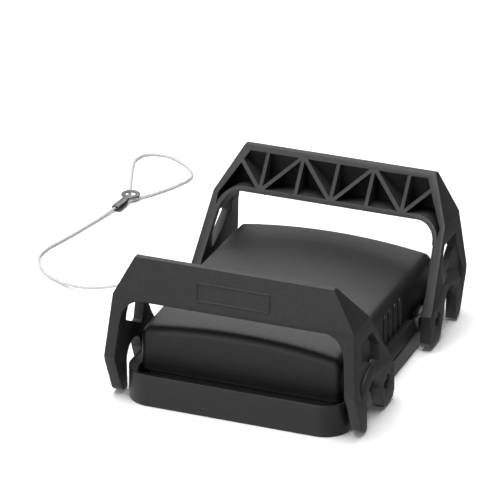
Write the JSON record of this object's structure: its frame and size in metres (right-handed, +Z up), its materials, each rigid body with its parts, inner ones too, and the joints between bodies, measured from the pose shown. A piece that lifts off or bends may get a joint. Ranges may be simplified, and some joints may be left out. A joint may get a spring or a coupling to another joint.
{
  "type": "connector locking cover",
  "caption": "Rectangular protective cover with a domed top, an open skirt, two swinging locking levers with ribbed handles, and a securing cord with a ring terminal.",
  "frame": {"origin": "middle of the cover, on the plane that the skirt stands on", "axes": "+Z up out of the dome, +Y towards the rear lever, +X to the right along both levers' pivot lines"},
  "size_m": [0.1782, 0.2207, 0.0602],
  "materials": {
    "cover_plastic": "satin",
    "lever_plastic": "fine matte texture",
    "gasket_rubber": "matte",
    "pin_steel": "dull",
    "zinc_steel": "zinc plated",
    "tinned_metal": "tin plated",
    "cord_coating": "clear coated"
  },
  "bodies": {
    "cover": {"base_frame": "cover_plastic", "cover_shell": "cover_plastic", "sealing_gasket": "gasket_rubber", "left_side_rail": "cover_plastic", "right_side_rail": "cover_plastic", "cover_screws": "zinc_steel", "front_left_pin": "pin_steel", "front_right_pin": "pin_steel", "rear_left_pin": "pin_steel", "rear_right_pin": "pin_steel", "front_left_washer": "zinc_steel", "front_right_washer": "zinc_steel", "rear_left_washer": "zinc_steel", "rear_right_washer": "zinc_steel", "cord_grommet": "gasket_rubber", "cord_ferrule": "tinned_metal", "securing_cord": "cord_coating", "ring_terminal": "tinned_metal"},
    "front_lever_body": {"front_lever": "lever_plastic"},
    "rear_lever_body": {"rear_lever": "lever_plastic"}
  },
  "joints": [
    {"name": "front_lever_hinge", "type": "hinge", "parent": "cover", "child": "front_lever_body", "pos_m": [0, -0.029, 0.011], "axis": [1, 0, 0], "range_deg": [-8, 55]},
    {"name": "rear_lever_hinge", "type": "hinge", "parent": "cover", "child": "rear_lever_body", "pos_m": [0, 0.029, 0.011], "axis": [-1, 0, 0], "range_deg": [-8, 55]}
  ]
}
